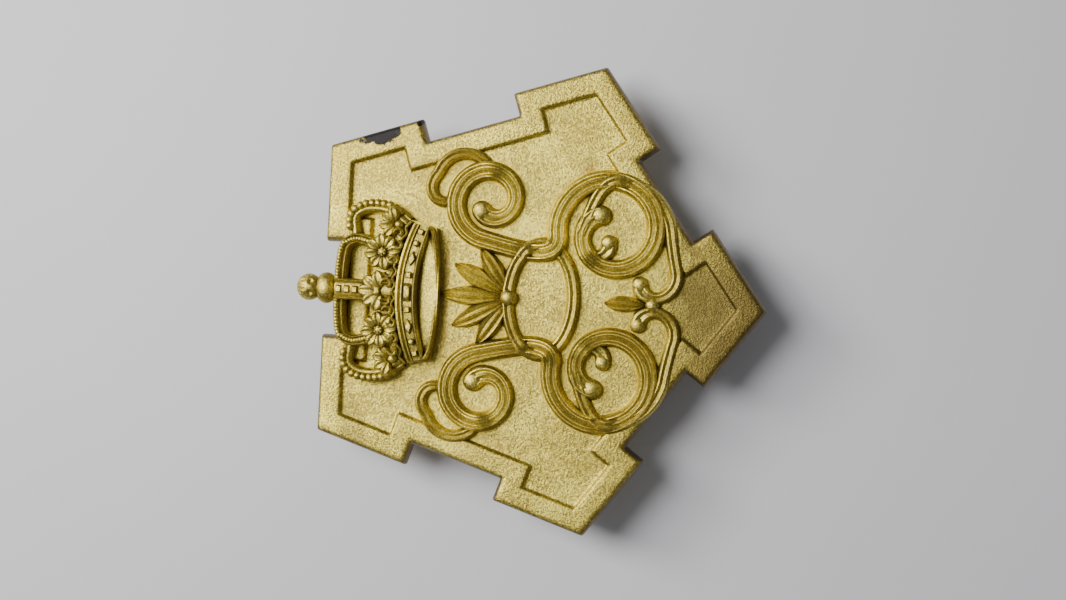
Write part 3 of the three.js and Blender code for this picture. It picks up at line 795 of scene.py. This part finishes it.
def band_height(u, v):
    """A bold foot, a sunk strip for the jewels and two fine lines along the top."""
    places = [0, 0.05, 0.12, 0.19, 0.24, 0.62, 0.67, 0.72, 0.77, 0.80, 0.88, 0.96, 1.0]
    heights = [-0.25, 0.06, 0.14, 0.04, -0.20, -0.20, 0.04, 0.06, -0.14, -0.10, 0.10, 0.05, -0.2]
    return roundness(u) + smooth(v, places, heights)


def lens_height(u, v):
    """The band's inside: a hollow that is deepest under the band."""
    return plate_top + 1.05 - 0.95 * v**1.5 * (1 - 0.7 * u**2)


def ground_height(u, v):
    """The plain ground behind the leaves: it falls away to the sides and a little upwards."""
    return plate_top + 1.15 - 0.5 * u**2 - 0.25 * v


print("crown from", np.round(crown_low, 2), "to", np.round(crown_high, 2))

# %% [markdown]
# Real jewels would be set in collets; on a struck badge they are only bumps. A superellipse gives
# a lozenge, an oval or a square from one formula, and the dome over it is a ring that shrinks as
# it rises. Petals and curls reuse the scrollwork's leaf and ribbon.

# %% Jewels, petals and curls
BAND_FOOT, BAND_TOP = (0.9, 1.9), (2.6, 3.9)  # mm above the base, at the sides and the middle
BAND_HALF = 6.33  # mm, half the band's width at the jewels
BAND_DROP = 1.15  # mm that the jewels' arc falls from the middle to the sides
JEWEL_ROW = 0.43  # how far up the band the jewels sit


def jewel_shell(x, y, half_width, half_height, z, power, rise_mm, degrees=0.0, steps=32):
    """A dome with a superellipse outline: power 1 is a lozenge, 2 is round and 8 is nearly square.
    Rings shrink from the outline to the middle and rise as a quarter of a sine."""
    angle = np.linspace(0, 2 * np.pi, steps, endpoint=False)
    size = (np.abs(np.cos(angle)) ** power + np.abs(np.sin(angle)) ** power) ** (-1 / power)
    ring = np.array([1.0, 1.0, 0.97, 0.90, 0.78, 0.6, 0.35, 0.1])[:, None]
    height = np.array([-0.4, 0.0, 0.35, 0.65, 0.86, 0.96, 1.0, 1.0])[:, None]
    if power > 2.5 or power < 1.5:
        height = np.array([-0.4, 0.1, 0.3, 0.55, 0.85, 1.0, 1.0, 1.0])[:, None]
        ring = np.array([1.0, 1.0, 0.95, 0.85, 0.70, 0.62, 0.3, 0.1])[:, None]
    across = ring * size * np.cos(angle) * half_width
    up = ring * size * np.sin(angle) * half_height
    c, s = np.cos(np.radians(degrees)), np.sin(np.radians(degrees))
    return tube_shell(stacked(
        x + across * c - up * s, y + across * s + up * c, z + height * rise_mm))


def band_jewels():
    """Jewels along the middle of the band's sunk strip, tilted with its arc."""
    shells = []
    for x, half_width, half_height, power in (
        (0.0, 0.88, 0.34, 9), (1.62, 0.31, 0.31, 9), (3.15, 0.76, 0.36, 1.15),
        (4.6, 0.32, 0.32, 2), (5.7, 0.28, 0.30, 9),
    ):
        for flip in (1, -1) if x else (1,):
            u = x / BAND_HALF
            y = BASE_Y + (1 - JEWEL_ROW) * arc(u, *BAND_FOOT) + JEWEL_ROW * arc(u, *BAND_TOP)
            tilt = np.degrees(np.arctan(-2 * BAND_DROP * u / BAND_HALF)) * flip
            z = roundness(u) - 0.2
            shells.append(jewel_shell(x * flip, y, half_width, half_height, z, power, 0.42, tilt))
    return shells


def flower(x, y, petals, length, width, first=0.0, z=0.0, start=0.32, spread=360.0):
    """Petals spread evenly round a centre; each is a small leaf with a groove down its middle."""
    shells = []
    for k in range(petals):
        degrees = first + spread * k / (petals if spread == 360.0 else petals - 1)
        c, s = np.cos(np.radians(degrees)), np.sin(np.radians(degrees))
        shells.append(leaf_shell(
            x + start * c, y + start * s, length, width, degrees, 0.55, z, ridges=2, across=11))
    return shells


def curls(flip, z, places, width=0.42, height=0.6):
    """Small spiral ribs at (x, y, radius, way round, lift) on one side of the crown."""
    shells = []
    for x, y, radius, way, lift in places:
        line = spiral((x * flip, BASE_Y + y), radius, radius * 0.4, 95, 270 * way * flip, 1.0, 24)
        narrowing = tapered(len(line), width, width * 0.6)
        shells.append(ribbon_shell(line, narrowing, height, 0.0, 1, z + lift, 9))
    return shells


print("jewels on the band:", len(band_jewels()))

# %% [markdown]
# Each arch is a smooth line through a few points with ribs beside it and pearls on it. The outer
# arches show their pearls on the outside. The inner arches turn over towards the middle, where
# the upright arch with its small square stones stands in front of them.

# %% Arches
def spline(points, steps=14):
    """A Catmull-Rom curve through the points: each span's ends lean along their neighbours."""
    p = np.array(points, float)
    p = np.vstack([2 * p[0] - p[1], p, 2 * p[-1] - p[-2]])
    t = np.linspace(0, 1, steps, endpoint=False)[:, None]
    spans = [
        b + ((c - a) * t + (2 * a - 5 * b + 4 * c - d) * t**2 + (3 * b - a - 3 * c + d) * t**3) / 2
        for a, b, c, d in zip(p[:-3], p[1:-2], p[2:-1], p[3:])
    ]
    return np.vstack(spans + [p[-2:-1]])


def beside(line, distance):
    """The line moved to its left by a distance."""
    return line + distance * left_of(line)


OUTER_ARCH = spline([(6.6, 3.2), (7.75, 4.9), (7.95, 6.8), (7.5, 8.0), (6.7, 8.5), (5.2, 8.3)])
INNER_ARCH = spline([(3.9, 5.4), (4.65, 7.0), (4.75, 8.2), (4.1, 9.05), (2.5, 9.3), (0.8, 9.35)])
TURN_OVER = 38  # the point of the inner arch where it bends over towards the middle
ARCH_FLOOR = plate_top - 0.25
RIB_HEIGHT = 0.6


def arch_height(line):
    """How high an arch stands: lower at the crown's sides, as the crown is round."""
    return CROWN_FACE - 0.75 - 0.75 * (np.abs(line[:, 0]) / 8.0) ** 2


def rib(line, width, drop=0.0):
    """A rounded rib along a crown line: its crest follows arch_height less a drop."""
    lift = arch_height(line) - drop - RIB_HEIGHT - ARCH_FLOOR
    return ribbon_shell(line + [0, BASE_Y], width, RIB_HEIGHT, lift, 1, ARCH_FLOOR, 11)


def pearls(line, radius, spacing, drop=0.0):
    """Balls along a line at one spacing."""
    shells = []
    for x, y in evenly(line, spacing):
        z = arch_height(np.array([[x, y]]))[0] - drop - radius * 0.5
        shells.append(ball_shell(x, BASE_Y + y, z, radius, 1.0, 14))
    return shells


def arch_shells():
    shells = []
    for flip in (1, -1):
        mirror = np.array([flip, 1])
        shells.append(rib(beside(OUTER_ARCH, 0.22) * mirror, 0.74))
        shells.append(rib(beside(OUTER_ARCH, -0.25) * mirror, 0.6, 0.35))
        shells += pearls(beside(OUTER_ARCH[8:64], -0.27) * mirror, 0.42, 0.86, -0.05)
        shells.append(rib(beside(INNER_ARCH, 0.36) * mirror, 0.36, -0.25))
        shells.append(rib(beside(INNER_ARCH[:TURN_OVER], -0.36) * mirror, 0.34, -0.25))
        shells.append(rib(INNER_ARCH * mirror, 0.85, 0.05))
        shells += pearls(INNER_ARCH[6:TURN_OVER] * mirror, 0.27, 0.62, -0.2)
        shells += pearls(beside(INNER_ARCH[TURN_OVER + 2:-2], -0.2) * mirror, 0.29, 0.62, -0.1)
    middle = np.stack([np.zeros(30), np.linspace(3.6, 9.7, 30)], axis=1)
    shells.append(rib(middle, 1.7, -0.35))
    for x in (-0.82, 0.82):
        shells.append(rib(middle + [x, 0], 0.36, -0.62))
    for y in np.linspace(7.75, 9.3, 3):
        shells.append(jewel_shell(0, BASE_Y + y, 0.36, 0.30, CROWN_FACE - 0.46, 9, 0.34))
    return shells


print("shells in the arches:", len(arch_shells()))

# %% [markdown]
# The leaf row hides the arches' feet, as it would on a real crown: a five-leaved fleuron in the
# middle, a flower on each side of it and smaller leaves where the crown turns away. Curls and a
# wavy line tie them together above the band.

# %% Crown leaves
FLOWER_X, FLOWER_Y = 3.65, 5.3
WAVE_HALF, WAVE_LENGTH = 6.7, 1.22  # mm, of the wavy line above the band
INNER_CURLS = ((0.72, 4.7, 0.56, -1, 0.15), (1.8, 4.55, 0.5, 1, 0.05), (2.85, 4.1, 0.5, -1, 0.0))
OUTER_CURLS = ((4.45, 3.85, 0.5, 1, -0.1), (5.5, 3.9, 0.45, -1, -0.3), (7.5, 4.5, 0.5, -1, -0.7))


def leaf_work():
    """The fleuron in the middle, a flower on each side, small outer leaves and curls below."""
    z = CROWN_FACE - 0.75
    shells = []
    for degrees, length in ((90, 2.1), (54, 1.95), (126, 1.95), (18, 1.8), (162, 1.8)):
        shells += flower(0, BASE_Y + 5.2, 1, length, 1.35, degrees, z + 0.18, 0.1)
    shells.append(jewel_shell(0, BASE_Y + 5.6, 0.44, 0.28, z + 0.62, 9, 0.2))
    for flip in (1, -1):
        shells += curls(flip, z, INNER_CURLS)
        x, y = FLOWER_X * flip, BASE_Y + FLOWER_Y
        shells += flower(x, y, 8, 1.45, 1.2, 10, z - 0.02, 0.22)
        shells.append(ball_shell(x, y, z + 0.38, 0.42, 0.7, 16))
        stamens = round_axis(x, y, 0.30, np.radians(np.arange(0, 360, 60)), z + 0.58)
        shells += [ball_shell(*place, 0.12, 0.9, 8) for place in stamens]
        shells += curls(flip, z, OUTER_CURLS)
        first = 30 - flip * 12
        shells += flower(6.35 * flip, BASE_Y + 4.2, 4, 1.5, 1.1, first, z - 0.45, 0.1, 120.0)
        shells.append(ball_shell(6.3 * flip, BASE_Y + 3.95, z - 0.1, 0.42, 0.8, 14))
    u = np.linspace(-1, 1, 160)
    ripple = 0.14 * np.cos(u * WAVE_HALF * 2 * np.pi / WAVE_LENGTH)
    wave = np.stack([u * WAVE_HALF, BASE_Y + arc(u, 2.95, 4.1) + ripple], axis=1)
    wave_lift = roundness(u) - 0.48 - CROWN_FLOOR
    shells.append(ribbon_shell(wave, 0.34, 0.5, wave_lift, 1, CROWN_FLOOR, 9))
    return shells


print("shells in the leaf row:", len(leaf_work()))

# %% [markdown]
# The orb and the ribbed ball above it end the crown. Both are spheres whose radius is changed a
# little: ribs are a cosine round the axis, and the two drilled pits are bell-shaped dents.

# %% Orb, and the whole crown
def orb_ball(y, radius_x, radius_y, radius_z, ribs=0, rib_depth=0.0, pits=(), steps=56):
    """A ball whose poles lie along y: longitude runs round that axis, ribs are a cosine of it that
    fades in towards the upper pole, and pits are bell-shaped dents at (longitude, latitude)."""
    longitude, latitude = sphere_angles(steps)
    fade = np.clip(np.sin(latitude) * 2.0, 0, 1) * np.cos(latitude)
    swell = 1 - rib_depth * (0.5 - 0.5 * np.cos(ribs * longitude)) * fade
    for east, north in np.radians(np.array(pits, float).reshape(-1, 2)):
        away = (longitude - east) ** 2 + (latitude - north) ** 2
        swell = swell - 0.3 * np.exp(-away / 0.025)
    x = radius_x * swell * np.cos(latitude) * np.cos(longitude)
    z = CROWN_FLOOR + 0.7 + radius_z * swell * np.cos(latitude) * np.sin(longitude)
    y = BASE_Y + y + radius_y * swell * np.sin(latitude)
    return stacked(x, y, z).reshape(-1, 3), grid_faces(steps, steps // 2 + 1, close_rows=True), []


def crown_shells():
    shells = [
        patch_shell(6.2, 7.3, (0.5, 0.0), (4.9, 6.0), ground_height, 61, 15),
        patch_shell(6.15, 6.15, (1.05, 0.12), (1.05, 2.0), lens_height, 81, 21, bow),
        patch_shell(6.2, 6.5, BAND_FOOT, BAND_TOP, band_height, 141, 49),
    ]
    u = np.sin(np.linspace(-1, 1, 120) * np.pi / 2)
    rear = np.stack([u * 6.12, BASE_Y + bow(u, 1.05, 0.16)], axis=1)
    rear_lift = plate_top + 1.05 + 0.45 * u**2 - 0.5 - CROWN_FLOOR
    shells.append(ribbon_shell(rear, 0.40, 0.6, rear_lift, 1, CROWN_FLOOR, 9))
    shells += band_jewels() + arch_shells() + leaf_work()
    shells.append(orb_ball(10.75, 1.48, 1.15, 1.1))
    shells.append(orb_ball(12.42, 1.27, 1.2, 1.13, 16, 0.10, ((62, -14), (118, -14))))
    return shells


piece("badge_crown", crown_shells(), relief_brass, "badge", "gilt_brass", "crown", sharp=50.0)

# %% [markdown]
# ## The back
#
# Rivet pins come through from the pieces on the face, and their heads are dressed almost flush.
# The posts are soldered into the plate. Their thread is a cylinder whose radius is a wave of the
# height less the pitch times the turn, which is what a helix is. Washers and knurled nuts ride on
# their own bodies, so each moves as its joint moves.

# %% Finishes for the back
posts_low, posts_high = box_mm("left_post")
POST_X, POST_Y = -(posts_low[0] + posts_high[0]) / 2, (posts_low[1] + posts_high[1]) / 2
POST_RADIUS = (posts_high[0] - posts_low[0]) / 2
POST_END = posts_low[2]
LATHE_MARKS = 9000.0  # per metre, outwards from the axis


def plain_metal(name, first, second, size_mm, roughness, depth_mm, axis=None):
    """A bare metal: two tones in soft patches. Round an axis, given as (x, y) in mm, its bump is
    turning marks, noise of the distance from the axis alone."""
    metal = Finish(name)
    patches = metal.noise(size_mm, 3.0, 0.6, 0.01)
    metal.set(metal.shader.inputs["Base Color"], metal.mixed(patches, first, second))
    if axis is None:
        height = metal.noise(size_mm * 0.25, 2.0, 0.6, 0.07)
    else:
        off = metal.vector("SUBTRACT", metal.place, (axis[0] * MM, axis[1] * MM, 0.0))["Vector"]
        flat = metal.vector("MULTIPLY", off, (1.0, 1.0, 0.0))["Vector"]
        radius = metal.vector("LENGTH", flat)["Value"]
        settings = {"noise_dimensions": "1D"}
        inputs = {"W": radius, "Scale": LATHE_MARKS, "Detail": 2.0}
        marks = metal.node("ShaderNodeTexNoise", settings, inputs)
        height = Varying(metal, marks.outputs["Fac"])
    metal.set(metal.shader.inputs["Roughness"], roughness + (patches - 0.5) * 0.2)
    metal.bump(height, depth_mm)
    return metal.material


rivet_brass = plain_metal(
    "dull_rivet_brass", colour(0.34, 0.22, 0.07), colour(0.22, 0.15, 0.06),
    size_mm=1.2, roughness=0.48, depth_mm=0.03)
solder_grey = plain_metal(
    "tin_solder", colour(0.36, 0.36, 0.35), colour(0.22, 0.22, 0.21),
    size_mm=0.8, roughness=0.42, depth_mm=0.04)
print("posts at x = +/-", round(POST_X, 2), "and y =", round(POST_Y, 2))

# %% [markdown]
# The rivets' heads are turned profiles, a little proud of the back. The solder lies almost flush
# round each post, so that the washer can come right up to the plate. A washer or a nut has the
# same profile on both faces, so only the lower half is written down.

# %% Rivets, posts, washers and nuts
PITCH, THREAD_DEPTH = 0.5, 0.26
RIVET_KINDS = ("crown_rivet", "scroll_rivet_upper", "scroll_rivet_lower")
RIVETS = [f"{kind}_{side}" for kind in RIVET_KINDS for side in ("left", "right")]
SOLDER_PROFILE = [
    (1.2, 0.1), (2.22, 0.1), (2.22, -0.005), (2.1, -0.018), (1.85, -0.026), (1.6, -0.032),
    (1.2, -0.032)]
POST_TOP = 0.6  # mm, inside the plate
NUT_TEETH = 24
BORE = POST_RADIUS + 0.06  # of the washers and nuts


def rivet_shells():
    shells = []
    for node in RIVETS:
        low, high = box_mm(node)
        x, y = (low[:2] + high[:2]) / 2
        head = (high[0] - low[0]) / 2
        profile = [
            (0, -0.07), (0.4, -0.07), (0.75, -0.055), (0.93, -0.03), (head, 0.02), (head, 0.2),
            (0, 0.2)]
        shells.append(turned_shell(profile, x, y, 40))
    return shells


def threaded_shell(x, y, low, high, steps=48):
    """A thread: the radius is a rounded saw of (z - pitch * turn), and it fades out at the end."""
    z = np.linspace(low, high, int((high - low) / PITCH * 12))[:, None]
    turns = np.linspace(0, 1, steps, endpoint=False)[None]
    wave = np.abs(((z / PITCH - turns) % 1) * 2 - 1)
    groove = THREAD_DEPTH * np.clip(wave * 1.25, 0, 1)
    chamfer = 0.3 * (1 - np.clip((z - low) / 0.35, 0, 1))
    radius = POST_RADIUS - np.maximum(groove, chamfer)
    return tube_shell(round_axis(x, y, radius, turns * 2 * np.pi, z))


def both_faces(lower_half, low, high):
    """A profile's lower half, as (radius, rise) from the bore out, then the same turned over."""
    half = np.array(lower_half)
    return np.vstack([half + [0, low], half[::-1] * [1, -1] + [0, high]])


def washer_shell(x, low, high):
    """A flat washer with lightly rounded edges."""
    outer = (high[0] - low[0]) / 2
    half = [
        (BORE, 0.06), (BORE + 0.06, 0), (outer - 0.12, 0), (outer - 0.03, 0.05), (outer, 0.14)]
    return turned_shell(both_faces(half, low[2], high[2]), x, POST_Y, 96, bore=True)


def nut_shell(x, low, high):
    """A round nut with rounded shoulders and V grooves cut in its rim."""
    outer = (high[0] - low[0]) / 2
    half = [
        (BORE, 0.2), (BORE + 0.2, 0), (outer - 0.9, 0), (outer - 0.55, 0.05), (outer - 0.12, 0.3),
        (outer, 0.42)]
    profile = both_faces(half, low[2], high[2])
    return turned_shell(profile, x, POST_Y, NUT_TEETH * 8, True, NUT_TEETH, tooth_depth=0.22)


piece("badge_rivets", rivet_shells(), rivet_brass, "badge", "rivet_brass", *RIVETS)
for side, x in (("left", -POST_X), ("right", POST_X)):
    lathe_brass = plain_metal(
        f"turned_brass_{side}", colour(0.62, 0.45, 0.15), colour(0.48, 0.33, 0.10),
        size_mm=2.0, roughness=0.28, depth_mm=0.012, axis=(x, POST_Y))
    post = threaded_shell(x, POST_Y, POST_END, POST_TOP)
    solder = turned_shell(SOLDER_PROFILE, x, POST_Y, 56, bore=True)
    washer = washer_shell(x, *box_mm(f"{side}_washer"))
    nut = nut_shell(x, *box_mm(f"{side}_nut"))
    for name, shell, finish, body, slot, node in (
        ("threaded_post", post, lathe_brass, "badge", "turned_brass", "post"),
        ("solder", solder, solder_grey, "badge", "solder", "post_solder"),
        ("turned_washer", washer, lathe_brass, f"{side}_washer", "turned_brass", "washer"),
        ("knurled_nut", nut, lathe_brass, f"{side}_nut", "turned_brass", "nut"),
    ):
        piece(f"{side}_{name}", [shell], finish, body, slot, f"{side}_{node}")

# %% [markdown]
# ## The floor and the light
#
# The badge lies on a plain pale table. The light is soft and comes from beyond the crown, which
# is the view's left: one large area lamp gives the sheen and the soft shadows, a second, dimmer
# one above the crown softens them, and a pale world fills the rest.

# %% Floor and light
def floor_finish():
    """Pale paint with very faint cloudiness."""
    pale = Finish("table_top", metallic=0.0)
    cloud = pale.noise(40.0, 3.0, 0.5)
    tone = pale.mixed(cloud, colour(0.66, 0.653, 0.675), colour(0.62, 0.61, 0.63))
    pale.set(pale.shader.inputs["Base Color"], tone)
    pale.shader.inputs["Roughness"].default_value = 0.55
    pale.bump(pale.noise(0.5, 2.0), 0.01, 0.3)
    return pale.material


FLOOR_SIZE = 1.2  # metres
FLOOR_GAP = 0.01  # mm, so that the floor and the nuts' faces don't share a plane
bpy.ops.mesh.primitive_plane_add(size=FLOOR_SIZE, location=(0, 0, cad_low[2] - FLOOR_GAP * MM))
floor = bpy.context.object
floor.name = "table_top"
floor.data.materials.append(floor_finish())


def aim(away):
    """The turn that points a lamp's -Z back along a vector: first about X, then about Z."""
    away = unit(away)
    return (np.arccos(away[2]), 0.0, np.arctan2(away[1], away[0]) + np.pi / 2)


def lamp(name, place_mm, size_mm, power, tint=(1.0, 1.0, 1.0)):
    """An area lamp that faces the badge."""
    data = bpy.data.lights.new(name, "AREA")
    data.shape = "DISK"
    data.size = size_mm * MM
    data.energy = power
    data.color = tint
    made = bpy.data.objects.new(name, data)
    made.location = np.array(place_mm) * MM
    made.rotation_euler = aim(np.array(place_mm, float))
    bpy.context.collection.objects.link(made)


lamp("window", (120, 330, 250), size_mm=150, power=1.22, tint=(1.0, 0.99, 0.97))
lamp("ceiling", (45, 105, 200), size_mm=110, power=0.50)
world = bpy.data.worlds.new("pale_room")
world.use_nodes = True
sky = world.node_tree.nodes["Background"]
sky.inputs["Color"].default_value = colour(0.82, 0.84, 0.88)
sky.inputs["Strength"].default_value = 0.23
bpy.context.scene.world = world
